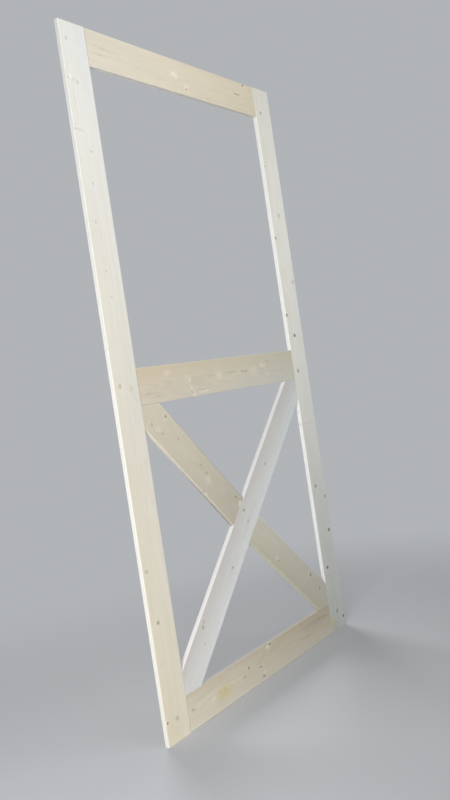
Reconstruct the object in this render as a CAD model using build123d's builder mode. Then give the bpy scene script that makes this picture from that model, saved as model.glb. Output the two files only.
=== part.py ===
from build123d import *
from math import copysign
import os

# An open sliding barn door leaf: two stiles, three rails and an X of braces in the lower panel.
# The leaf stands upright with its front face towards -Y. The origin is the middle of the bottom
# edge, halfway through the thickness. X runs to the right, Z upwards, and all sizes are in mm.

os.makedirs("parts", exist_ok=True)

# Overall size of the leaf
door_width = 1000
door_height = 2100
board_thickness = 16

# Widths of the planed boards
stile_width = 96
rail_width = 112
long_brace_width = 103
short_brace_width = 113

# Height of the middle rail's lower edge above the foot of the door
middle_rail_underside = 984

# The two short braces point at a place on the long brace this far below its middle, so they
# don't run on in one line.
crossing_drop = 16

# Rounding of the long edges that the planer leaves
arris_radius = 2

# Glue between two boards
glue_line = 0.1

# Hidden loose tenons, each half in one board and half in the other
tenon_thickness = 6
tenon_end_chamfer = 1
rail_tenon_width = 60
rail_tenon_length = 50
corner_tenon_width = 30
corner_tenon_length = 30
crossing_tenon_width = 50
crossing_tenon_length = 40

# Room that the mortises leave round a tenon
mortise_side_clearance = 0.1
mortise_end_clearance = 1

# Places that follow from the sizes above
inner_half_width = door_width / 2 - stile_width
panel_bottom = rail_width
panel_top = middle_rail_underside
rail_heights = {
    "bottom_rail": rail_width / 2,
    "middle_rail": middle_rail_underside + rail_width / 2,
    "top_rail": door_height - rail_width / 2,
}

# The long brace runs from the lower left inner corner of the panel to the upper right one
low_left = Vector(-inner_half_width, 0, panel_bottom)
low_right = Vector(inner_half_width, 0, panel_bottom)
high_left = Vector(-inner_half_width, 0, panel_top)
high_right = Vector(inner_half_width, 0, panel_top)
long_direction = (high_right - low_left).normalized()
long_normal = Vector(-long_direction.Z, 0, long_direction.X)

# Each short brace runs from its own corner to the meeting point on the long brace
meeting_point = (low_left + high_right) / 2 - long_direction * crossing_drop
upper_direction = (meeting_point - high_left).normalized()
lower_direction = (meeting_point - low_right).normalized()

# The four faces of the panel that hold the brace ends, each facing into the panel
panel_faces = [
    Plane(origin=(glue_line - inner_half_width, 0, 0), z_dir=(1, 0, 0)),
    Plane(origin=(inner_half_width - glue_line, 0, 0), z_dir=(-1, 0, 0)),
    Plane(origin=(0, 0, panel_bottom + glue_line), z_dir=(0, 0, 1)),
    Plane(origin=(0, 0, panel_top - glue_line), z_dir=(0, 0, -1)),
]


def rail_joint(side, height):
    """The plane between a stile and a rail, with Z pointing into the rail."""
    return Plane(origin=(side * inner_half_width, 0, height), x_dir=(0, 0, 1), z_dir=(-side, 0, 0))


def stile_seat(corner, direction, width):
    """The plane of a brace's cut on the stile, centred on the cut, with Z pointing into the brace."""
    cut_length = width / 2 / abs(direction.X)
    middle = corner + Vector(0, 0, copysign(cut_length / 2, direction.Z))
    return Plane(origin=middle, x_dir=(0, 0, 1), z_dir=(copysign(1, direction.X), 0, 0))


def rail_seat(corner, direction, width):
    """The plane of a brace's cut on the rail, centred on the cut, with Z pointing into the brace."""
    cut_length = width / 2 / abs(direction.Z)
    middle = corner + Vector(copysign(cut_length / 2, direction.X), 0, 0)
    return Plane(origin=middle, x_dir=(1, 0, 0), z_dir=(0, 0, copysign(1, direction.Z)))


def long_brace_seat(corner, direction, side):
    """The long brace's edge where a short brace meets it, with Z pointing into the short brace."""
    edge_point = low_left + long_normal * (side * long_brace_width / 2)
    reach = (edge_point - corner).dot(long_normal) / direction.dot(long_normal)
    return Plane(origin=corner + direction * reach, x_dir=long_direction, z_dir=long_normal * side)


# Every glued joint: its carrier, its guest, the plane between them and the tenon's width and length
rail_tenon = (rail_tenon_width, rail_tenon_length)
corner_tenon = (corner_tenon_width, corner_tenon_length)
crossing_tenon = (crossing_tenon_width, crossing_tenon_length)
upper_seat = long_brace_seat(high_left, upper_direction, 1)
lower_seat = long_brace_seat(low_right, lower_direction, -1)
glued_joints = [
    ("long_brace", "upper_short_brace", upper_seat, crossing_tenon),
    ("long_brace", "lower_short_brace", lower_seat, crossing_tenon),
]
for rail_name, height in rail_heights.items():
    glued_joints.append(("left_stile", rail_name, rail_joint(-1, height), rail_tenon))
    glued_joints.append(("right_stile", rail_name, rail_joint(1, height), rail_tenon))
for brace_name, stile_name, rail_name, corner, direction, width in (
    ("long_brace", "left_stile", "bottom_rail", low_left, long_direction, long_brace_width),
    ("long_brace", "right_stile", "middle_rail", high_right, -long_direction, long_brace_width),
    ("upper_short_brace", "left_stile", "middle_rail", high_left, upper_direction, short_brace_width),
    ("lower_short_brace", "right_stile", "bottom_rail", low_right, lower_direction, short_brace_width),
):
    glued_joints.append((stile_name, brace_name, stile_seat(corner, direction, width), corner_tenon))
    glued_joints.append((rail_name, brace_name, rail_seat(corner, direction, width), corner_tenon))


def cut_mortises(board):
    """Cuts the mortise of every glued joint that this board has a side of."""
    for carrier, guest, seat, (width, length) in glued_joints:
        if board in (carrier, guest):
            depth = length / 2 + mortise_end_clearance
            with BuildSketch(seat) as mortise:
                Rectangle(width + 2 * mortise_side_clearance, tenon_thickness + 2 * mortise_side_clearance)
            extrude(mortise.sketch, amount=depth if board == guest else -depth, mode=Mode.SUBTRACT)


def brace_section(corner, direction, width):
    """The plane of a brace's section, far enough behind its corner for the corner to be cut later."""
    return Plane(origin=corner - direction * width, x_dir=(0, 1, 0), z_dir=direction)


def trim_to_panel():
    """Cuts the ends of a brace to the corner of the panel that they sit in."""
    for face in panel_faces:
        split(bisect_by=face, keep=Keep.TOP)


# Stiles: full height, with the ends sawn square
for stile_name, side in (("left_stile", -1), ("right_stile", 1)):
    stile_centre = side * (door_width - stile_width) / 2
    with BuildPart() as stile:
        with BuildSketch(Plane.XY):
            with Locations((stile_centre, 0)):
                RectangleRounded(stile_width, board_thickness, arris_radius)
        extrude(amount=door_height)
        cut_mortises(stile_name)
    stile.part.label = stile_name
    export_step(stile.part, f"parts/{stile_name}.step")

# Rails: butted between the stiles
for rail_name, height in rail_heights.items():
    with BuildPart() as rail:
        with BuildSketch(Plane.YZ):
            with Locations((0, height)):
                RectangleRounded(board_thickness, rail_width, arris_radius)
        extrude(amount=inner_half_width - glue_line, both=True)
        cut_mortises(rail_name)
    rail.part.label = rail_name
    export_step(rail.part, f"parts/{rail_name}.step")

# Long brace: one board from corner to corner, each end cut to the stile and to the rail
panel_diagonal = (high_right - low_left).length
with BuildPart() as long_brace:
    with BuildSketch(brace_section(low_left, long_direction, long_brace_width)):
        RectangleRounded(board_thickness, long_brace_width, arris_radius)
    extrude(amount=panel_diagonal + 2 * long_brace_width)
    trim_to_panel()
    cut_mortises("long_brace")
long_brace.part.label = "long_brace"
export_step(long_brace.part, "parts/long_brace.step")

# Short braces: each from its corner to the long brace's edge, with a straight cut there
for brace_name, corner, direction, seat in (
    ("upper_short_brace", high_left, upper_direction, upper_seat),
    ("lower_short_brace", low_right, lower_direction, lower_seat),
):
    with BuildPart() as short_brace:
        with BuildSketch(brace_section(corner, direction, short_brace_width)):
            RectangleRounded(board_thickness, short_brace_width, arris_radius)
        extrude(amount=panel_diagonal / 2 + short_brace_width)
        trim_to_panel()
        split(bisect_by=seat.offset(glue_line), keep=Keep.TOP)
        cut_mortises(brace_name)
    short_brace.part.label = brace_name
    export_step(short_brace.part, f"parts/{brace_name}.step")

# Loose tenons: half in each board, with chamfered ends
for carrier, guest, seat, (width, length) in glued_joints:
    tenon_name = f"tenon_{guest}_to_{carrier}"
    with BuildPart() as tenon:
        with BuildSketch(seat.offset(-length / 2)):
            Rectangle(width, tenon_thickness)
        extrude(amount=length)
        chamfer(tenon.faces().filter_by(seat).edges(), length=tenon_end_chamfer)
    tenon.part.label = tenon_name
    export_step(tenon.part, f"parts/{tenon_name}.step")
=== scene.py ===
# %% [markdown]
# # An open barn door leaf of planed pine
#
# The leaf is a frame of five flat boards with an X of three more in its lower panel. Their shapes
# come ready from the CAD model, as real boards come ready from the planer. What is left for
# Blender is what makes them wood: grain that follows each board, knots where the real ones are,
# sawn ends, worn edges, and the light that shows all of it.

import math

import bmesh
import bpy
from mathutils import Matrix, Vector


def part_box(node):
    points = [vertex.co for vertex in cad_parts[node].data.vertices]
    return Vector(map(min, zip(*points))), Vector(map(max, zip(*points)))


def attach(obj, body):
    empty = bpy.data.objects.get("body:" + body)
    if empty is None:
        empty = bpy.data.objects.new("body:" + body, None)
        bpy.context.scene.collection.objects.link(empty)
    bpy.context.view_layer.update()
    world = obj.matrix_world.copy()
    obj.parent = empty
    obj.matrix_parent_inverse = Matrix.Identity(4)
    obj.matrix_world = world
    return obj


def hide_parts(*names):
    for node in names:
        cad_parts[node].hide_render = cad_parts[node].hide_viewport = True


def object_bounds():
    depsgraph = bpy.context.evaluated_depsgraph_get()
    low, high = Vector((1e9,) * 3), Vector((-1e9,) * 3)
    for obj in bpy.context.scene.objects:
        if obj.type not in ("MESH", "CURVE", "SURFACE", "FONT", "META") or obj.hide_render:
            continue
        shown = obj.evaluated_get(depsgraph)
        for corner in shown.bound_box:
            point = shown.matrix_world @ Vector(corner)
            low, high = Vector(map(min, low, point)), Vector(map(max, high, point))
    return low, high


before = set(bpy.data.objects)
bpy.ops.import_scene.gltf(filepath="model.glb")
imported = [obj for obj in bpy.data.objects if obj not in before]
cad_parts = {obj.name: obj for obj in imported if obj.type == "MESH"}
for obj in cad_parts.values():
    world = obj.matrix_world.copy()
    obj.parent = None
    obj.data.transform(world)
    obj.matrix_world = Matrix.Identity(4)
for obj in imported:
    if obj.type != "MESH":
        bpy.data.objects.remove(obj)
cad_low, cad_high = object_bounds()
print("CAD nodes:", len(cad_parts))
print("the leaf measures", [round(v, 3) for v in cad_high - cad_low], "m")

# %% [markdown]
# ## Where each board lies
#
# Wood grain runs along a board, so every board needs to know which way it points. The stiles stand
# up, the rails lie level, and each brace runs between two corners of the panel. The corners are
# read from the boxes of the boards round them, so the scene and the CAD model can't drift apart.
# The three braces are cut from one width of board, and the two short ones sit a few millimetres
# above the lines through their corners.

# %% The corners of the lower panel
def panel_corner(stile, rail):
    """The inner corner that a stile and a rail make, on the side that faces the panel."""
    stile_low, stile_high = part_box(stile)
    rail_low, rail_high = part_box(rail)
    x = stile_high.x if stile == "left_stile" else stile_low.x
    z = rail_high.z if rail == "bottom_rail" else rail_low.z
    return Vector((x, 0, z))


low_left = panel_corner("left_stile", "bottom_rail")
low_right = panel_corner("right_stile", "bottom_rail")
high_left = panel_corner("left_stile", "middle_rail")
high_right = panel_corner("right_stile", "middle_rail")
print("panel from", [round(v, 3) for v in low_left], "to", [round(v, 3) for v in high_right])

# %% Each board's centre, direction and half sizes
long_brace_width = 0.103
short_brace_width = 0.103
short_brace_rise = 0.005
crossing_drop = 0.016
half_thickness = cad_high.y

uphill = (high_right - low_left).normalized()
crossing = (low_left + high_right) / 2 - uphill * crossing_drop
rise = uphill * short_brace_rise
boards = {}


def lay_board(name, start, end, width):
    """Notes a board's centre, its directions and its half sizes."""
    along = end - start
    direction = along.normalized()
    boards[name] = {
        "centre": (start + end) / 2,
        "direction": direction,
        "across": Vector((-direction.z, 0, direction.x)),
        "angle": math.atan2(along.z, along.x),
        "half_length": along.length / 2,
        "half_width": width / 2,
    }


for stile in ("left_stile", "right_stile"):
    low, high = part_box(stile)
    middle = (low.x + high.x) / 2
    lay_board(stile, Vector((middle, 0, low.z)), Vector((middle, 0, high.z)), high.x - low.x)
for rail in ("bottom_rail", "middle_rail", "top_rail"):
    low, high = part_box(rail)
    middle = (low.z + high.z) / 2
    lay_board(rail, Vector((low.x, 0, middle)), Vector((high.x, 0, middle)), high.z - low.z)
lay_board("long_brace", low_left, high_right, long_brace_width)
lay_board("upper_short_brace", high_left + rise, crossing + rise, short_brace_width)
lay_board("lower_short_brace", low_right + rise, crossing + rise, short_brace_width)

for name, board in boards.items():
    print(f"{name}: {math.degrees(board['angle']):.1f} degrees, {2 * board['half_length']:.3f} m long")

# %% From a place on the leaf to a place on a board
def place_on_board(board, x, z):
    """Turns a place on the leaf into metres along and across a board, from its centre."""
    away = Vector((x, 0, z)) - board["centre"]
    return away.dot(board["direction"]), away.dot(board["across"])


crossing_on_board = place_on_board(boards["long_brace"], crossing.x, crossing.z)
print("the short braces meet the long one", round(crossing_on_board[0], 3), "m from its middle")

# %% [markdown]
# ## The short braces, planed to width
#
# In the CAD model the two short braces are 10 mm too wide along their lower edges, so they are
# planed down here, much as a maker would do it. Two new boards could be drawn instead, but a copy
# of the CAD board keeps its cut ends and its mortises. A plane cuts the strip off the copy, one new
# face closes the side, and a bevel rounds that face's two long edges like the others.
#
# The mesh of a CAD board is loose triangles, so they are merged first, and triangles that lie in
# one plane are joined. The new face's rim is then two long edges and two short ones. Points that
# stay on the short ones are kept clear of the corners, so that the bevel has room there.

# %% Cut the strip off a copy
merge_distance = 0.00001
same_plane = math.radians(1)


def cut_back(name):
    """Copies a board's mesh, cuts it back along its lower edge and closes its new side."""
    board = boards[name]
    downwards = board["across"] if board["across"].z < 0 else -board["across"]
    mesh = bmesh.new()
    mesh.from_mesh(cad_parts[name].data)
    bmesh.ops.remove_doubles(mesh, verts=mesh.verts, dist=merge_distance)
    bmesh.ops.dissolve_limit(mesh, angle_limit=same_plane, verts=mesh.verts, edges=mesh.edges)
    cut = bmesh.ops.bisect_plane(
        mesh, geom=mesh.verts[:] + mesh.edges[:] + mesh.faces[:], dist=merge_distance,
        plane_co=board["centre"] + downwards * board["half_width"], plane_no=downwards, clear_outer=True,
    )
    rim = [part for part in cut["geom_cut"] if isinstance(part, bmesh.types.BMEdge)]
    side = bmesh.ops.contextual_create(mesh, geom=rim)["faces"][0]
    return mesh, side


print("planed width:", short_brace_width, "m")

# %% Round the new long edges
arris_radius = 0.002
arris_segments = 4
shortest_long_edge = 0.1
corner_room = half_thickness - 1.5 * arris_radius


def round_long_edges(mesh, side):
    """Rounds the new side's long edges, once there is room for the bevel at its corners."""
    for point in side.verts:
        if abs(point.co.y) < half_thickness - merge_distance:
            shift = max(-corner_room, min(corner_room, point.co.y)) - point.co.y
            bmesh.ops.translate(mesh, verts=[point], vec=(0, shift, 0))
    long_edges = [edge for edge in side.edges if edge.calc_length() > shortest_long_edge]
    bmesh.ops.bevel(
        mesh, geom=long_edges, offset=arris_radius, offset_type="OFFSET", segments=arris_segments,
        profile=0.5, affect="EDGES", material=-1,
    )
    bmesh.ops.recalc_face_normals(mesh, faces=mesh.faces)
    return len(long_edges)


print("points between the corners keep", round(half_thickness - corner_room, 4), "m from the faces")

# %% Put the planed copies in the boards' places
def planed_down(name):
    """Makes a narrower copy of a short brace that stands for the CAD board."""
    mesh, side = cut_back(name)
    new_edges = round_long_edges(mesh, side)
    open_edges = sum(edge.is_boundary for edge in mesh.edges)
    print(name, "has", new_edges, "new long edges,", len(mesh.faces), "faces and", open_edges, "open edges")
    data = bpy.data.meshes.new("planed_" + name)
    mesh.to_mesh(data)
    mesh.free()
    piece = bpy.data.objects.new("planed_" + name, data)
    bpy.context.scene.collection.objects.link(piece)
    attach(piece, "root")
    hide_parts(name)
    return piece


planed_boards = {name: planed_down(name) for name in ("upper_short_brace", "lower_short_brace")}

# %% [markdown]
# ## Small helpers for nodes
#
# A procedural material is a chain of small sums. Writing each sum as one call keeps the chain
# readable, because the line then says what is worked out and not how a node is wired.

# %% Helpers for numbers and vectors
def put(tree, socket, value):
    """Links a socket to another, or sets its value."""
    if isinstance(value, bpy.types.NodeSocket):
        tree.links.new(value, socket)
    else:
        socket.default_value = value


def calc(tree, operation, *values):
    """Adds a Math node."""
    node = tree.nodes.new("ShaderNodeMath")
    node.operation = operation
    for socket, value in zip(node.inputs, values):
        put(tree, socket, value)
    return node.outputs[0]


def vector_calc(tree, operation, *values):
    """Adds a Vector Math node, and returns its number where the operation gives one."""
    node = tree.nodes.new("ShaderNodeVectorMath")
    node.operation = operation
    for socket, value in zip(node.inputs, values):
        put(tree, socket, value)
    return node.outputs["Value" if operation in ("LENGTH", "DOT_PRODUCT") else "Vector"]


def scaled(tree, vector, factor):
    """Multiplies a vector or a colour by one number."""
    node = tree.nodes.new("ShaderNodeVectorMath")
    node.operation = "SCALE"
    put(tree, node.inputs[0], vector)
    put(tree, node.inputs["Scale"], factor)
    return node.outputs[0]


def joined(tree, x, y, z):
    """A vector made of three numbers."""
    node = tree.nodes.new("ShaderNodeCombineXYZ")
    for socket, value in zip(node.inputs, (x, y, z)):
        put(tree, socket, value)
    return node.outputs[0]


def split(tree, vector):
    """The three numbers of a vector."""
    node = tree.nodes.new("ShaderNodeSeparateXYZ")
    put(tree, node.inputs[0], vector)
    return node.outputs


print("helpers for numbers and vectors are ready")

# %% Helpers for masks and noise
def fade(tree, value, start, end):
    """A mask that goes smoothly from 0 at start to 1 at end."""
    node = tree.nodes.new("ShaderNodeMapRange")
    node.interpolation_type = "SMOOTHSTEP"
    put(tree, node.inputs["Value"], value)
    put(tree, node.inputs["From Min"], start)
    put(tree, node.inputs["From Max"], end)
    return node.outputs["Result"]


def noise(tree, place, detail=2.0, output="Fac"):
    """Adds a Noise texture, whose numbers lie around 0.5."""
    node = tree.nodes.new("ShaderNodeTexNoise")
    node.inputs["Scale"].default_value = 1.0
    node.inputs["Detail"].default_value = detail
    put(tree, node.inputs["Vector"], place)
    return node.outputs[output]


print("helpers for masks and noise are ready")

# %% Helpers for colours and for groups
# A Mix node has sockets for each kind of value, and these are the ones for colours
share_in, first_colour_in, second_colour_in, colour_out = 0, 6, 7, 2
socket_kinds = {"number": "NodeSocketFloat", "vector": "NodeSocketVector", "colour": "NodeSocketColor"}


def mix_colours(tree, amount, first, second, way="MIX"):
    """Mixes two colours."""
    node = tree.nodes.new("ShaderNodeMix")
    node.data_type = "RGBA"
    node.blend_type = way
    put(tree, node.inputs[share_in], amount)
    put(tree, node.inputs[first_colour_in], first)
    put(tree, node.inputs[second_colour_in], second)
    return node.outputs[colour_out]


def tinted(tree, colour, tint):
    """Multiplies a colour by a tint."""
    return mix_colours(tree, 1.0, colour, tint, "MULTIPLY")


def new_group(name, inputs, outputs):
    """Makes a shader node group with named sockets."""
    group = bpy.data.node_groups.new(name, "ShaderNodeTree")
    for label, kind in inputs:
        group.interface.new_socket(name=label, in_out="INPUT", socket_type=socket_kinds[kind])
    for label, kind in outputs:
        group.interface.new_socket(name=label, in_out="OUTPUT", socket_type=socket_kinds[kind])
    entry = group.nodes.new("NodeGroupInput")
    leaving = group.nodes.new("NodeGroupOutput")
    return group, entry.outputs, leaving.inputs


def use_group(tree, group, **values):
    """Places a group in a tree. An underscore in a name stands for a space."""
    node = tree.nodes.new("ShaderNodeGroup")
    node.node_tree = group
    for label, value in values.items():
        put(tree, node.inputs[label.replace("_", " ")], value)
    return node.outputs


def finish_surface(tree, colour, roughness, height, bump_strength, bump_distance):
    """Feeds a material's own shader, with the height turned into bump."""
    shader = tree.nodes["Principled BSDF"]
    put(tree, shader.inputs["Base Color"], colour)
    put(tree, shader.inputs["Roughness"], roughness)
    bump = tree.nodes.new("ShaderNodeBump")
    bump.inputs["Strength"].default_value = bump_strength
    bump.inputs["Distance"].default_value = bump_distance
    put(tree, bump.inputs["Height"], height)
    put(tree, shader.inputs["Normal"], bump.outputs[0])
    return shader


print("kinds of group sockets:", sorted(socket_kinds))

# %% [markdown]
# ## A knot
#
# A knot is the foot of a branch, so it goes through the board from face to face. Seen on the face
# it is a brown core in a softer ring, and the grain parts to pass it on both sides. A texture of
# random spots would put knots anywhere, but these have to sit where the real ones do, so each knot
# is one copy of a group that knows its own place. The copies form a chain in which each adds its
# mark to what came before.
#
# A magnifying lens bends a pattern of lines as a knot does. The group works the same way: it pulls
# the place that the grain is read from towards the knot's middle.

# %% The knot group
# Each pair says where a mark begins to show and where it is full, in radii from the knot's middle
core_edge = (1.1, 0.7)
ring_edge = (1.9, 0.8)
halo_outer_edge = (3.2, 1.8)
halo_inner_edge = (1.0, 1.8)
pale_edge = (1.5, 0.4)
pale_hollow = (0.1, 0.7)
resin_edge = (1.5, 0.1)
grain_edge = (3.6, 0.0)
hollow_share = 0.65
halo_share = 0.4
grain_stretch = 3.2

knot_group, given, result = new_group(
    "Knot",
    [("Place", "vector"), ("Centre", "vector"), ("Radius", "number"), ("Stretch", "number"),
     ("Sideways", "number"), ("Pull", "number"), ("Darkness", "number"), ("Paleness", "number"),
     ("Resin", "number"), ("Bend so far", "number"), ("Core so far", "number"), ("Ring so far", "number"),
     ("Pale so far", "number"), ("Resin so far", "number")],
    [("Bend", "number"), ("Core", "number"), ("Ring", "number"), ("Pale", "number"), ("Resin", "number")],
)
tree = knot_group
away = split(tree, vector_calc(tree, "SUBTRACT", given["Place"], given["Centre"]))

# A knot runs from face to face, or sideways from edge to edge
upright = calc(tree, "SUBTRACT", 1.0, given["Sideways"])
across_upright = calc(tree, "MULTIPLY", away[2], upright)
across_sideways = calc(tree, "MULTIPLY", away[1], given["Sideways"])
across = calc(tree, "ADD", across_sideways, across_upright)
across_squared = calc(tree, "MULTIPLY", across, across)


def reach_from(lengthwise):
    """How far off a place is, in radii, when distance along the board counts for less."""
    along = calc(tree, "DIVIDE", away[0], lengthwise)
    squares = calc(tree, "ADD", calc(tree, "MULTIPLY", along, along), across_squared)
    return calc(tree, "DIVIDE", calc(tree, "SQRT", squares), given["Radius"])


print("a mark fades out at", halo_outer_edge[0], "radii and bends the grain out to", grain_edge[0])

# %% The knot's marks
reach = reach_from(given["Stretch"])
core = calc(tree, "MULTIPLY", fade(tree, reach, *core_edge), given["Darkness"])
ring = calc(tree, "MULTIPLY", fade(tree, reach, *ring_edge), given["Darkness"])
halo = calc(tree, "MULTIPLY", fade(tree, reach, *halo_outer_edge), fade(tree, reach, *halo_inner_edge))
halo = calc(tree, "MULTIPLY", halo, calc(tree, "MULTIPLY", given["Darkness"], halo_share))
hollow = calc(tree, "MULTIPLY_ADD", fade(tree, reach, *pale_hollow), 1 - hollow_share, hollow_share)
pale = calc(tree, "MULTIPLY", fade(tree, reach, *pale_edge), hollow)
pale = calc(tree, "MAXIMUM", calc(tree, "MULTIPLY", pale, given["Paleness"]), halo)
resin = calc(tree, "MULTIPLY", fade(tree, reach, *resin_edge), given["Resin"])

# The grain is bent much further along the board than the mark itself reaches
grain_reach = reach_from(calc(tree, "MULTIPLY", given["Stretch"], grain_stretch))
pull = calc(tree, "MULTIPLY", fade(tree, grain_reach, *grain_edge), given["Pull"])
bend = calc(tree, "MULTIPLY", away[2], calc(tree, "MULTIPLY", pull, -1.0))
put(tree, result["Bend"], calc(tree, "ADD", given["Bend so far"], bend))
put(tree, result["Core"], calc(tree, "MAXIMUM", given["Core so far"], core))
put(tree, result["Ring"], calc(tree, "MAXIMUM", given["Ring so far"], ring))
put(tree, result["Pale"], calc(tree, "MAXIMUM", given["Pale so far"], pale))
put(tree, result["Resin"], calc(tree, "MAXIMUM", given["Resin so far"], resin))
print("knot group:", len(knot_group.nodes), "nodes")

# %% [markdown]
# ## Planed pine
#
# A tree's growth rings are tubes round its heart. A board is a flat slice of those tubes, so the
# same sum gives long streaks on its faces and arcs on its sawn ends. Slow noise lets the tubes
# wander, as a trunk does, and that is what draws the pointed arches on a face. Very fine noise,
# drawn out along the board, gives the fibres. A board is also seldom one tone from side to side,
# because one side was nearer to the bark, so its far side has a tint of its own. A flat colour with
# a stripe texture would be simpler, but its stripes would run off the sawn ends as stripes too.

# %% The pine group
pine_group, given, result = new_group(
    "Planed pine",
    [("Place", "vector"), ("Towards the end", "number"), ("Bend", "number"), ("Core", "number"),
     ("Ring", "number"), ("Pale", "number"), ("Resin", "number"), ("Foot colour", "colour"),
     ("Head colour", "colour"), ("Far side tint", "colour"), ("Half length", "number"),
     ("Half width", "number"), ("Middle lift", "number"), ("Heart depth", "number"),
     ("Heart aside", "number"), ("Ring width", "number"), ("Grain", "number"), ("Shift", "vector")],
    [("Colour", "colour"), ("Roughness", "number"), ("Height", "number")],
)
tree = pine_group
bent = vector_calc(tree, "ADD", given["Place"], joined(tree, 0.0, 0.0, given["Bend"]))
seeded = vector_calc(tree, "ADD", bent, given["Shift"])


def drawn_out(along, across, detail=2.0):
    """Noise with so many features in a metre along the board and across it."""
    return noise(tree, vector_calc(tree, "MULTIPLY", seeded, (along, across, across)), detail)


# The numbers are features in a metre, along and across
wander = drawn_out(1.6, 9.0)
ripple = drawn_out(9.0, 70.0)
fibres = drawn_out(22.0, 900.0, 3.0)
streaks = drawn_out(3.5, 75.0, 3.0)
cloud = drawn_out(2.2, 16.0, 3.0)
print("kinds of noise in the pine:", sum(node.type == "TEX_NOISE" for node in pine_group.nodes))

# %% Growth rings
wander_distance = 0.045
ripple_distance = 0.0022
late_wood_starts = (0.25, 0.86)
late_wood_ends = (1.0, 0.9)

parts = split(tree, bent)
behind = calc(tree, "ADD", parts[1], given["Heart depth"])
aside = calc(tree, "ADD", parts[2], given["Heart aside"])
aside_squared = calc(tree, "MULTIPLY", aside, aside)
heart_distance = calc(tree, "SQRT", calc(tree, "MULTIPLY_ADD", behind, behind, aside_squared))
heart_distance = calc(tree, "MULTIPLY_ADD", wander, wander_distance, heart_distance)
heart_distance = calc(tree, "MULTIPLY_ADD", ripple, ripple_distance, heart_distance)

# Pale spring wood that darkens slowly, then ends in a narrow dark line
year = calc(tree, "FRACT", calc(tree, "DIVIDE", heart_distance, given["Ring width"]))
late = calc(tree, "MULTIPLY", fade(tree, year, *late_wood_starts), fade(tree, year, *late_wood_ends))
late = calc(tree, "MULTIPLY", late, given["Grain"])
print("rings wander by", wander_distance, "m and ripple by", ripple_distance, "m")

# %% Colour of the clean wood
no_tint = (1, 1, 1, 1)
late_wood_tint = (0.80, 0.69, 0.52, 1)
middle_spread = 0.4

# Along a board, -1 is its foot and 1 is its head. Across it, -1 is the near side and 1 the far one.
along = calc(tree, "DIVIDE", parts[0], given["Half length"])
across = calc(tree, "DIVIDE", parts[2], given["Half width"])
head_share = calc(tree, "MULTIPLY_ADD", along, 0.5, 0.5)
far_share = calc(tree, "MULTIPLY_ADD", across, 0.5, 0.5)
wood = mix_colours(tree, head_share, given["Foot colour"], given["Head colour"])
wood = tinted(tree, wood, mix_colours(tree, far_share, no_tint, given["Far side tint"]))
colour = mix_colours(tree, late, wood, tinted(tree, wood, late_wood_tint))

# Noise lies around 0.5, so each tone is made to average 1 and only its depth differs
away_from_middle = calc(tree, "MULTIPLY", along, along)
middle_share = calc(tree, "SUBTRACT", middle_spread, away_from_middle)
shade = calc(tree, "MULTIPLY_ADD", given["Middle lift"], middle_share, 1.0)
tones = ((fibres, 0.12), (streaks, 0.10), (cloud, 0.12))
for tone, depth in tones:
    shade = calc(tree, "MULTIPLY", shade, calc(tree, "MULTIPLY_ADD", tone, depth, 1 - depth / 2))
colour = scaled(tree, colour, shade)
print("tones laid over the wood:", len(tones))

# %% Colour of the knots, the pale figure and the resin
knot_ring_tint = (0.76, 0.69, 0.57, 1)
knot_ring_share = 0.6
knot_core_colour = (0.21, 0.17, 0.13, 1)
pale_figure_colour = (0.93, 0.89, 0.78, 1)
pale_between_flecks = 0.2
fleck_edge = (0.38, 0.62)
resin_colour = (0.72, 0.60, 0.30, 1)

ring_share = calc(tree, "MULTIPLY", given["Ring"], knot_ring_share)
colour = mix_colours(tree, ring_share, colour, tinted(tree, colour, knot_ring_tint))
colour = mix_colours(tree, given["Core"], colour, knot_core_colour)
flecks = fade(tree, drawn_out(110.0, 190.0, 3.0), *fleck_edge)
flecks = calc(tree, "MULTIPLY_ADD", flecks, 1 - pale_between_flecks, pale_between_flecks)
pale = calc(tree, "MULTIPLY", given["Pale"], flecks)
colour = mix_colours(tree, pale, colour, pale_figure_colour)
colour = mix_colours(tree, given["Resin"], colour, resin_colour)
print("knots, figure and resin are mixed in")

# %% Sawn ends and roughness
end_grain_tint = (0.80, 0.73, 0.62, 1)
planed_roughness = 0.56
fibre_roughness = 0.14

end = given["Towards the end"]
roughness_changes = ((late, -0.10), (given["Resin"], -0.22), (pale, -0.08), (end, 0.18))
put(tree, result["Colour"], mix_colours(tree, end, colour, tinted(tree, colour, end_grain_tint)))
rough = calc(tree, "MULTIPLY_ADD", fibres, fibre_roughness, planed_roughness)
for mask, change in roughness_changes:
    rough = calc(tree, "MULTIPLY_ADD", mask, change, rough)
put(tree, result["Roughness"], rough)
print("roughness of planed pine: about", round(planed_roughness + fibre_roughness / 2, 2))

# %% Height of the fibres, the rings, the knots and the saw's lines
fibre_height, late_wood_height, knot_height, saw_height = 0.5, 0.25, 0.6, 1.2
saw_features = (40.0, 90.0, 1400.0)

saw_lines = noise(tree, vector_calc(tree, "MULTIPLY", given["Place"], saw_features))
saw_lines = calc(tree, "MULTIPLY", end, saw_lines)
height = calc(tree, "MULTIPLY", late, late_wood_height)
for mask, share in ((fibres, fibre_height), (given["Core"], knot_height), (saw_lines, saw_height)):
    height = calc(tree, "MULTIPLY_ADD", mask, share, height)
put(tree, result["Height"], height)
print("pine group:", len(pine_group.nodes), "nodes")

# %% [markdown]
# ## Rubbed edges, painted highlights and painted light on the sides
#
# Hands and the floor rub a board's long edges first, and rubbed pine is a little paler. The same
# paler strip also stands in for the highlight that light puts on the rounded arrises, so it is
# partly wear and partly a painted highlight. The narrow side faces show another cut of the wood
# than the broad ones, which gives them a tone of their own, and their colour also carries painted
# light and shade: lighter where light falls on a side, darker where a side lies in shade. The
# group finds the edges from the board's own half sizes, so it needs nothing from the mesh, whose
# loose triangles have no neighbours to compare.

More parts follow.
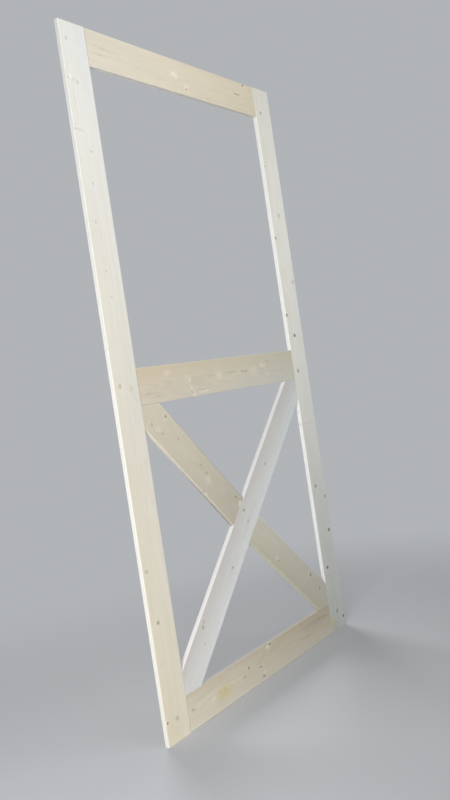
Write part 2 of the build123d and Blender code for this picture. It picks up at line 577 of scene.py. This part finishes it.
# %% The edge wear and painted highlight group
# Rubbed edges turn this paler colour, which also paints a highlight along the rounded arrises
worn_and_highlit_wood_colour = (0.86, 0.83, 0.76, 1)
patch_features = (7.0, 40.0, 40.0)
patch_edge = (0.35, 0.65)
worn_and_highlit_between_patches = 0.4
side_face_edge = (0.0015, 0.0003)

# This group paints the edges paler, partly as wear and partly as a painted highlight, and paints light and
# shade on the narrow side faces
wear_and_highlight_group, given, result = new_group(
    "Edge wear",
    [("Colour", "colour"), ("Place", "vector"), ("Half width", "number"), ("Half thickness", "number"),
     ("Reach", "number"), ("Strength", "number"), ("Side colour", "colour"), ("Side share", "number")],
    [("Colour", "colour"), ("Worn and highlit", "number")],
)
tree = wear_and_highlight_group
parts = split(tree, given["Place"])
side_gap = calc(tree, "SUBTRACT", given["Half width"], calc(tree, "ABSOLUTE", parts[2]))
face_gap = calc(tree, "SUBTRACT", given["Half thickness"], calc(tree, "ABSOLUTE", parts[1]))
near_side = fade(tree, side_gap, given["Reach"], 0.0)
near_face = fade(tree, face_gap, given["Reach"], 0.0)
edge = calc(tree, "MULTIPLY", near_side, near_face)
patches = noise(tree, vector_calc(tree, "MULTIPLY", given["Place"], patch_features))
patches = fade(tree, patches, *patch_edge)
patches = calc(tree, "MULTIPLY_ADD", patches, 1 - worn_and_highlit_between_patches, worn_and_highlit_between_patches)
# The paler edge is partly wear and partly a painted highlight along the arrises
worn_and_highlit = calc(tree, "MULTIPLY", calc(tree, "MULTIPLY", edge, patches), given["Strength"])
# The side faces take the side colour, partly for their own cut of the wood and partly as painted light and
# shade
side_tone_and_light = calc(tree, "MULTIPLY", fade(tree, side_gap, *side_face_edge), given["Side share"])
colour = mix_colours(tree, worn_and_highlit, given["Colour"], worn_and_highlit_wood_colour)
put(tree, result["Colour"], mix_colours(tree, side_tone_and_light, colour, given["Side colour"]))
put(tree, result["Worn and highlit"], worn_and_highlit)
print("edge wear group:", len(wear_and_highlight_group.nodes), "nodes")

# %% [markdown]
# ## The marks on each board
#
# The knots of the real leaf are small, and most are brown pin knots near a board's edge. Some send
# a faint spike across the board, and two lie sideways in a stile's inner edge. The rails also have
# pale swirls, where a knot lies just under the surface, dark streaks along the grain, and yellow
# resin near the foot. They are written as a list, because a list is easy to read beside the real
# thing and to correct. Each mark is a place on the leaf and a radius, all in millimetres, a kind,
# and how far it is drawn out along the board.

# %% Kinds of marks
mark_kinds = {
    "dark": {"Darkness": 0.85},
    "brown": {"Darkness": 0.48},
    "faint": {"Darkness": 0.24},
    "streak": {"Darkness": 0.12, "Pull": 0.3},
    "spike": {"Darkness": 0.13, "Pull": 0.0},
    "edge knot": {"Darkness": 0.55, "Sideways": 1.0, "Pull": 0.0},
    "bright": {"Paleness": 0.95},
    "pale": {"Paleness": 0.55},
    "glint": {"Paleness": 0.32, "Pull": 0.2},
    "resin": {"Resin": 0.62},
}
usual_strengths = {"Darkness": 0.0, "Paleness": 0.0, "Resin": 0.0, "Sideways": 0.0, "Pull": 0.8}
print("kinds of marks:", ", ".join(mark_kinds))

# %% Marks on the stiles
marks = {
    "left_stile": [
        (-479, 2049, 4, "faint", 2.0), (-493, 1935, 5, "faint", 0.7), (-482, 1938, 7, "bright", 1.0),
        (-476, 1931, 14, "spike", 0.28), (-459, 1927, 4, "faint", 1.3), (-480, 1862, 2, "streak", 28.0),
        (-493, 1789, 5, "faint", 0.7), (-478, 1787, 13, "spike", 0.28), (-466, 1785, 3, "faint", 1.4),
        (-449, 1729, 4, "faint", 1.0), (-460, 1635, 4, "faint", 1.0), (-473, 1524, 4, "faint", 1.3),
        (-460, 1383, 3, "faint", 1.0), (-456, 1307, 3, "faint", 1.0), (-476, 1049, 5, "faint", 1.6),
        (-435, 1038, 7, "streak", 1.3), (-484, 510, 6, "faint", 1.0), (-470, 356, 6, "brown", 1.0),
        (-480, 236, 4, "streak", 1.4), (-452, 67, 7, "faint", 1.2), (-491, 69, 3, "dark", 1.0),
    ],
    "right_stile": [
        (436, 2008, 6, "brown", 1.0), (412, 1802, 4, "faint", 1.3), (456, 1614, 9, "faint", 1.0),
        (413, 1527, 6, "brown", 1.0), (484, 1359, 7, "faint", 1.2), (411, 1230, 6, "dark", 1.0),
        (444, 1151, 6, "dark", 1.0), (432, 1015, 7, "brown", 1.0), (404, 856, 4, "edge knot", 1.0),
        (404, 811, 6, "edge knot", 1.2), (434, 566, 7, "brown", 1.0), (486, 515, 6, "brown", 1.0),
        (480, 383, 7, "dark", 1.0), (432, 246, 7, "dark", 1.0), (455, 70, 7, "brown", 1.2),
        (493, 37, 6, "dark", 1.0), (414, 36, 16, "resin", 1.3),
    ],
}
print("marks on the stiles:", [len(found) for found in marks.values()])

# %% Marks on the rails
marks.update({
    "top_rail": [
        (-360, 2056, 2, "streak", 14.0), (-328, 2052, 4, "streak", 9.0), (-354, 2031, 2, "streak", 14.0),
        (297, 2051, 3, "brown", 6.0), (-34, 2045, 13, "pale", 1.2), (19, 2020, 10, "pale", 1.0),
        (19, 2008, 4, "brown", 1.3), (125, 1999, 3, "faint", 1.5), (345, 2093, 5, "dark", 1.0),
    ],
    "middle_rail": [
        (-355, 1014, 3, "streak", 12.0), (-330, 1003, 2, "streak", 14.0), (-279, 1071, 8, "glint", 1.5),
        (-190, 1043, 11, "glint", 1.4), (-199, 1047, 9, "pale", 0.35), (-183, 1038, 4, "pale", 1.6),
        (-36, 1040, 16, "glint", 1.1), (-43, 1036, 15, "pale", 0.3), (-28, 1046, 4, "pale", 2.2),
        (-28, 1032, 4, "pale", 1.5), (-70, 1044, 3, "streak", 7.0), (-176, 998, 12, "glint", 0.8),
        (-178, 1008, 11, "bright", 0.22), (-167, 990, 5, "bright", 1.0), (-179, 1000, 4, "faint", 1.2),
        (-125, 1004, 2, "streak", 16.0), (-115, 996, 3, "pale", 9.0), (240, 1066, 3, "streak", 8.0),
        (100, 1043, 4, "faint", 5.0), (30, 1046, 3, "streak", 14.0), (158, 1036, 14, "glint", 1.5),
        (213, 1058, 9, "pale", 1.8), (230, 1024, 8, "glint", 1.6),
    ],
    "bottom_rail": [
        (3, 99, 8, "bright", 1.2), (-34, 16, 6, "brown", 1.2), (-26, 24, 8, "bright", 1.2),
        (-107, 72, 4, "dark", 1.0), (-133, 55, 5, "faint", 1.5), (-306, 58, 3, "faint", 1.6),
        (-290, 52, 9, "pale", 1.6), (-236, 52, 24, "resin", 1.8), (-257, 62, 4, "faint", 1.0),
        (-230, 58, 4, "faint", 1.4), (-193, 62, 6, "glint", 1.6), (-50, 53, 3, "brown", 3.5),
        (16, 105, 4, "dark", 0.8), (-383, 59, 4, "faint", 2.5), (334, 78, 4, "streak", 18.0),
        (290, 84, 7, "streak", 12.0), (240, 50, 3, "streak", 16.0),
    ],
})
print("marks on the rails:", [len(marks[rail]) for rail in ("top_rail", "middle_rail", "bottom_rail")])

# %% Marks on the braces
marks.update({
    "long_brace": [
        (-12, 578, 5, "brown", 1.0), (1, 537, 6, "faint", 1.0), (141, 709, 5, "faint", 1.2),
        (-112, 411, 5, "brown", 1.4), (-284, 292, 5, "faint", 1.3), (-289, 276, 5, "brown", 1.0),
        (-291, 224, 4, "faint", 1.2),
    ],
    "upper_short_brace": [
        (-314, 939, 5, "brown", 1.0), (-375, 922, 5, "faint", 1.3), (-352, 906, 9, "glint", 1.4),
        (-337, 890, 5, "faint", 1.3), (-272, 864, 4, "faint", 1.2), (-163, 715, 12, "glint", 1.5),
        (-168, 735, 4, "faint", 1.6), (-187, 765, 3, "faint", 3.5), (-150, 716, 2, "faint", 5.0),
        (-196, 678, 6, "faint", 1.2), (-188, 672, 7, "pale", 1.2), (-44, 631, 5, "brown", 1.0),
        (-24, 600, 11, "bright", 1.2), (-14, 585, 4, "faint", 1.2),
    ],
    "lower_short_brace": [
        (136, 360, 5, "faint", 1.3), (130, 372, 8, "glint", 1.4), (313, 256, 6, "brown", 1.0),
        (302, 262, 7, "pale", 1.2), (360, 188, 5, "brown", 1.0),
    ],
})
print("marks on all boards:", sum(len(found) for found in marks.values()))

# %% [markdown]
# ## One pine material for each board
#
# No two boards are cut from the same place in a tree, so each has its own material with its own
# heart, rings, tone and marks. One material for all would be less work, but then every board would
# be the same board. Two kinds are in this leaf. The stiles and the long brace are whiter, and the
# rails and short braces are creamier.

# %% Turn a pattern along a board
def place_of(tree, centre, angle):
    """Object coordinates turned so that X runs along the board and Z across it."""
    coordinates = tree.nodes.new("ShaderNodeTexCoord")
    mapping = tree.nodes.new("ShaderNodeMapping")
    mapping.vector_type = "TEXTURE"
    mapping.inputs["Location"].default_value = centre
    mapping.inputs["Rotation"].default_value = (0.0, -angle, 0.0)
    put(tree, mapping.inputs["Vector"], coordinates.outputs["Object"])
    return mapping.outputs[0], coordinates.outputs["Normal"]


print("boards that the grain has to follow:", len(boards))

# %% Chain a board's marks
mark_unevenness = 0.012
unevenness_features = 110.0
middle_of_noise = (0.5, 0.5, 0.5)
unmarked = {"Bend": 0.0, "Core": 0.0, "Ring": 0.0, "Pale": 0.0, "Resin": 0.0}


def chain_marks(tree, place, board, found):
    """Puts one knot group after another and returns the last one's outputs."""
    # The marks are read from a slightly shaken place, which makes their outlines uneven
    unevenness = noise(tree, scaled(tree, place, unevenness_features), output="Color")
    unevenness = vector_calc(tree, "SUBTRACT", unevenness, middle_of_noise)
    shaken = vector_calc(tree, "MULTIPLY_ADD", unevenness, (mark_unevenness, 0.0, mark_unevenness), place)
    so_far = unmarked
    for x, z, radius, kind, stretch in found:
        along, across = place_on_board(board, x / 1000, z / 1000)
        marked = use_group(
            tree, knot_group, Place=shaken, Centre=(along, 0.0, across), Radius=radius / 1000,
            Stretch=stretch, **{**usual_strengths, **mark_kinds[kind]},
            **{label + "_so_far": value for label, value in so_far.items()},
        )
        so_far = {label: marked[label] for label in so_far}
    return so_far


print("each mark hands on", ", ".join(unmarked))

# %% Build a board's material
ring_width = 0.0042
wear_and_highlight_reach = 0.003
polish_of_wear = -0.08
sheen_of_bare_wood = 0.35
end_edge = (0.75, 0.95)
noise_steps = (3.1, 1.7, 2.3)


# A board's side colour and side share paint light and shade on its narrow sides, and its wear strength also
# sets the painted highlight along its edges
def planed_pine(
    name, foot, head, far_side, heart, grain, lift=0.0, side=(0.93, 0.93, 0.93), side_share=0.3, wear_and_highlight=0.35
):
    """Gives a board its own planed pine."""
    board = boards[name]
    material = bpy.data.materials.new("planed_pine_" + name)
    material.use_nodes = True
    tree = material.node_tree
    place, normal = place_of(tree, board["centre"], board["angle"])
    facing = calc(tree, "ABSOLUTE", vector_calc(tree, "DOT_PRODUCT", normal, tuple(board["direction"])))
    found = chain_marks(tree, place, board, marks[name])

    # Each board reads the noise at a place of its own
    number = list(boards).index(name) + 1
    shift = tuple(step * number for step in noise_steps)
    pine = use_group(
        tree, pine_group, Place=place, Towards_the_end=fade(tree, facing, *end_edge), **found,
        Foot_colour=(*foot, 1), Head_colour=(*head, 1), Far_side_tint=(*far_side, 1),
        Half_length=board["half_length"], Half_width=board["half_width"], Middle_lift=lift,
        Heart_depth=heart[0], Heart_aside=heart[1], Ring_width=ring_width, Grain=grain, Shift=shift,
    )
    # Paler edges, partly wear and partly a painted highlight, and painted light and shade on the narrow
    # sides
    worn_and_highlit = use_group(
        tree, wear_and_highlight_group, Colour=pine["Colour"], Place=place, Half_width=board["half_width"],
        Half_thickness=half_thickness, Reach=wear_and_highlight_reach, Strength=wear_and_highlight,
        Side_colour=(*side, 1), Side_share=side_share,
    )
    roughness = calc(tree, "MULTIPLY_ADD", worn_and_highlit["Worn and highlit"], polish_of_wear, pine["Roughness"])
    shader = finish_surface(
        tree, worn_and_highlit["Colour"], roughness, pine["Height"], bump_strength=0.35, bump_distance=0.0005
    )
    shader.inputs["Specular IOR Level"].default_value = sheen_of_bare_wood
    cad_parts[name].material_slots[0].material = material
    if name in planed_boards:
        planed_boards[name].data.materials.append(material)
    print(name, "has", len(marks[name]), "marks and", len(tree.nodes), "nodes")


print("a growth ring is", ring_width, "m wide, and wear reaches", wear_and_highlight_reach, "m from an edge")

# %% The whiter boards
# The side colours and shares paint light and shade on each board's narrow sides, set to how brightly each
# side is lit, and the wear strengths also set the painted edge highlights
planed_pine(
    "left_stile", foot=(0.80, 0.74, 0.60), head=(0.70, 0.71, 0.70), far_side=(1.0, 0.98, 0.93),
    heart=(0.055, 0.020), grain=0.10, lift=-0.06, side=(0.78, 0.79, 0.78), side_share=0.6, wear_and_highlight=0.15,
)
planed_pine(
    "right_stile", foot=(0.70, 0.72, 0.70), head=(0.89, 0.88, 0.82), far_side=(0.97, 0.965, 0.92),
    heart=(0.070, -0.030), grain=0.10, lift=0.25, side_share=0.6, wear_and_highlight=0.2,
)
planed_pine(
    "long_brace", foot=(0.84, 0.85, 0.84), head=(0.77, 0.81, 0.81), far_side=(0.82, 0.77, 0.73),
    heart=(0.060, 0.010), grain=0.10, side=(0.93, 0.93, 0.95), side_share=0.4,
)

# %% The creamier boards
# Here too the side colours paint light and shade on the narrow sides; the bottom rail's dark one is painted
# shade, for its top side, which lies in shade
planed_pine(
    "bottom_rail", foot=(0.83, 0.785, 0.67), head=(0.68, 0.635, 0.54), far_side=(0.82, 0.76, 0.66),
    heart=(0.050, -0.015), grain=0.18, side=(0.52, 0.49, 0.44), side_share=0.9, wear_and_highlight=0.15,
)
planed_pine(
    "middle_rail", foot=(0.655, 0.585, 0.485), head=(0.685, 0.685, 0.61), far_side=(0.94, 0.90, 0.79),
    heart=(0.045, 0.012), grain=0.16,
)
planed_pine(
    "top_rail", foot=(0.675, 0.625, 0.52), head=(0.71, 0.64, 0.49), far_side=(1.0, 1.0, 1.0),
    heart=(0.048, 0.018), grain=0.13,
)
planed_pine(
    "upper_short_brace", foot=(0.635, 0.585, 0.465), head=(0.565, 0.53, 0.435), far_side=(1.0, 1.0, 1.0),
    heart=(0.050, -0.010), grain=0.14, side=(0.80, 0.74, 0.62), side_share=0.6, wear_and_highlight=0.05,
)
planed_pine(
    "lower_short_brace", foot=(0.62, 0.60, 0.53), head=(0.70, 0.66, 0.57), far_side=(0.89, 0.90, 0.80),
    heart=(0.052, 0.014), grain=0.14, side=(0.75, 0.71, 0.62), side_share=0.2, wear_and_highlight=0.15,
)

# %% [markdown]
# ## Beech for the hidden tenons
#
# The tenons are sealed in the boards and show only when the leaf is taken apart. Beech is denser
# than pine. It has no strong rings, but short dark flecks along its grain, so noise drawn out along
# the tenon and cut off high gives them, and nothing has to be placed by hand.

# %% The beech group
fleck_features = (160.0, 900.0, 900.0)
beech_fleck_edge = (0.56, 0.66)
fleck_share = 0.5
tone_features = (12.0, 60.0, 60.0)
dark_beech, light_beech = (0.66, 0.50, 0.34, 1), (0.76, 0.61, 0.45, 1)
fleck_colour = (0.42, 0.27, 0.16, 1)
beech_roughness, fleck_roughness, fleck_height = 0.5, 0.15, -0.5

beech_group, given, result = new_group(
    "Beech", [("Place", "vector")], [("Colour", "colour"), ("Roughness", "number"), ("Height", "number")]
)
tree = beech_group
flecks = noise(tree, vector_calc(tree, "MULTIPLY", given["Place"], fleck_features), 3.0)
flecks = fade(tree, flecks, *beech_fleck_edge)
tone = noise(tree, vector_calc(tree, "MULTIPLY", given["Place"], tone_features))
colour = mix_colours(tree, tone, dark_beech, light_beech)
colour = mix_colours(tree, calc(tree, "MULTIPLY", flecks, fleck_share), colour, fleck_colour)
put(tree, result["Colour"], colour)
put(tree, result["Roughness"], calc(tree, "MULTIPLY_ADD", flecks, fleck_roughness, beech_roughness))
put(tree, result["Height"], calc(tree, "MULTIPLY", flecks, fleck_height))
print("beech group:", len(beech_group.nodes), "nodes")

# %% Give every tenon its beech
# A tenon's grain runs through its joint: level into a stile, upright into a rail, and square to the
# long brace
tenon_directions = {
    "stile": 0.0,
    "rail": math.pi / 2,
    "long_brace": boards["long_brace"]["angle"] + math.pi / 2,
}
beech = {}
for kind, angle in tenon_directions.items():
    material = bpy.data.materials.new("beech_tenon_in_" + kind)
    material.use_nodes = True
    tree = material.node_tree
    place, normal = place_of(tree, (0.0, 0.0, 0.0), angle)
    wood = use_group(tree, beech_group, Place=place)
    finish_surface(
        tree, wood["Colour"], wood["Roughness"], wood["Height"], bump_strength=0.3, bump_distance=0.0003
    )
    beech[kind] = material

tenon_count = 0
for name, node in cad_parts.items():
    if name.startswith("tenon_"):
        carrier = name.split("_to_")[1]
        kind = "long_brace" if carrier == "long_brace" else carrier.split("_")[1]
        node.material_slots[0].material = beech[kind]
        tenon_count += 1
print("beech tenons:", tenon_count)

# %% [markdown]
# ## Floor and background
#
# A plain pale floor takes the leaf's shadow. Near the leaf it is lit like everything else. Further
# off it fades into one flat tone, the same as the world's, so that no horizon cuts the picture. A
# curved backdrop would hide the horizon too, but only from one side. The flat tone is only what the
# camera and reflections see, and adds no light to the wood.

# %% The floor
backdrop_colour = (0.44, 0.455, 0.475, 1)
floor_colour = (0.55, 0.565, 0.59, 1)
floor_roughness = 0.9
floor_sheen = 0.1
floor_radius = 40
floor_sides = 64
fade_from_leaf = (0.9, 2.0)

floor_mesh = bmesh.new()
bmesh.ops.create_circle(floor_mesh, cap_ends=True, radius=floor_radius, segments=floor_sides)
floor_data = bpy.data.meshes.new("floor")
floor_mesh.to_mesh(floor_data)
floor_mesh.free()
floor = bpy.data.objects.new("floor", floor_data)
bpy.context.scene.collection.objects.link(floor)


def seen_directly(tree):
    """1 for camera, glossy and transmission rays, and 0 for the rays that carry light to surfaces."""
    path = tree.nodes.new("ShaderNodeLightPath")
    seen = calc(tree, "MAXIMUM", path.outputs["Is Camera Ray"], path.outputs["Is Glossy Ray"])
    return calc(tree, "MAXIMUM", seen, path.outputs["Is Transmission Ray"])


print("the floor's radius:", floor_radius, "m")

# %% The floor's material
floor_material = bpy.data.materials.new("pale_floor")
floor_material.use_nodes = True
tree = floor_material.node_tree
shader = tree.nodes["Principled BSDF"]
shader.inputs["Base Color"].default_value = floor_colour
shader.inputs["Roughness"].default_value = floor_roughness
shader.inputs["Specular IOR Level"].default_value = floor_sheen
flat_tone = tree.nodes.new("ShaderNodeEmission")
flat_tone.inputs["Color"].default_value = backdrop_colour
mixer = tree.nodes.new("ShaderNodeMixShader")
coordinates = tree.nodes.new("ShaderNodeTexCoord")
from_centre = vector_calc(tree, "LENGTH", coordinates.outputs["Object"])
flat_share = calc(tree, "MULTIPLY", fade(tree, from_centre, *fade_from_leaf), seen_directly(tree))
put(tree, mixer.inputs[0], flat_share)
put(tree, mixer.inputs[1], shader.outputs[0])
put(tree, mixer.inputs[2], flat_tone.outputs[0])
put(tree, tree.nodes["Material Output"].inputs["Surface"], mixer.outputs[0])
floor_data.materials.append(floor_material)
print("the floor turns flat between", fade_from_leaf[0], "and", fade_from_leaf[1], "m from the leaf")

# %% The world
ambient_strength = 0.2
world = bpy.data.worlds.new("studio")
bpy.context.scene.world = world
world.use_nodes = True
tree = world.node_tree
soft_light = tree.nodes["Background"]
soft_light.inputs["Color"].default_value = (1, 1, 1, 1)
soft_light.inputs["Strength"].default_value = ambient_strength
seen_tone = tree.nodes.new("ShaderNodeBackground")
seen_tone.inputs["Color"].default_value = backdrop_colour
mixer = tree.nodes.new("ShaderNodeMixShader")
put(tree, mixer.inputs[0], seen_directly(tree))
put(tree, mixer.inputs[1], soft_light.outputs[0])
put(tree, mixer.inputs[2], seen_tone.outputs[0])
put(tree, tree.nodes["World Output"].inputs["Surface"], mixer.outputs[0])
print("ambient strength:", ambient_strength)

# %% [markdown]
# ## Lamps
#
# A low lamp on the left makes the left sides of the boards the brightest faces, and lets the leaf
# fall off gently towards its lower right corner. A weak lamp in front fills the upper half. A third
# lamp keeps the back from going dark. All are large, so the shadows stay soft.

# %% Place the lamps
def area_lamp(name, place, target, size, power):
    """Adds a square lamp that looks at a target."""
    data = bpy.data.lights.new(name, "AREA")
    data.shape = "SQUARE"
    data.size = size
    data.energy = power
    lamp = bpy.data.objects.new(name, data)
    lamp.visible_camera = False
    lamp.location = place
    lamp.rotation_euler = (Vector(target) - Vector(place)).to_track_quat("-Z", "Y").to_euler()
    bpy.context.scene.collection.objects.link(lamp)
    print(name, "at", place, "with", power, "W")


area_lamp("low_left_lamp", place=(-2.58, -1.23, 1.0), target=(-0.1, 0.0, 0.4), size=1.4, power=67.6)
area_lamp("front_lamp", place=(-0.12, -1.2, 2.17), target=(-0.1, 0.0, 1.8), size=1.4, power=11.75)
area_lamp("back_lamp", place=(1.8, 3.4, 2.6), target=(0.0, 0.0, 1.0), size=2.0, power=90)

# %% [markdown]
# ## Camera
#
# The camera stands to the left of the leaf at half its height, close enough for the perspective to
# be strong. Its place and lens come from a fit to the edges of the real boards. The real leaf leans
# and this one stands upright, so the camera carries that lean as a roll. The lens is shifted a
# little, because the middle of the picture isn't quite where the lens points.

# %% Set the camera
camera_place = Vector((-1.8417, -1.5453, 1.0242))
heading, pitch, roll = 49.37, -1.17, -8.58
sensor_size_mm = 36
photo_long_side = 800
focal_length_px = 710.1
picture_middle = (224.5, 399.5)
lens_centre = (218.65, 394.32)

camera_data = bpy.data.cameras.new("camera")
camera_data.sensor_width = sensor_size_mm
camera_data.lens = focal_length_px / photo_long_side * sensor_size_mm
camera_data.shift_x = (picture_middle[0] - lens_centre[0]) / photo_long_side
camera_data.shift_y = (lens_centre[1] - picture_middle[1]) / photo_long_side
camera = bpy.data.objects.new("camera", camera_data)
camera.matrix_world = (
    Matrix.Translation(camera_place)
    @ Matrix.Rotation(math.radians(-heading), 4, "Z")
    @ Matrix.Rotation(math.radians(90 + pitch), 4, "X")
    @ Matrix.Rotation(math.radians(roll), 4, "Z")
)
bpy.context.scene.collection.objects.link(camera)
bpy.context.scene.camera = camera
bpy.context.scene.view_settings.view_transform = "Standard"
print("lens", round(camera_data.lens, 2), "mm")
print("shift", round(camera_data.shift_x, 4), "across and", round(camera_data.shift_y, 4), "up")
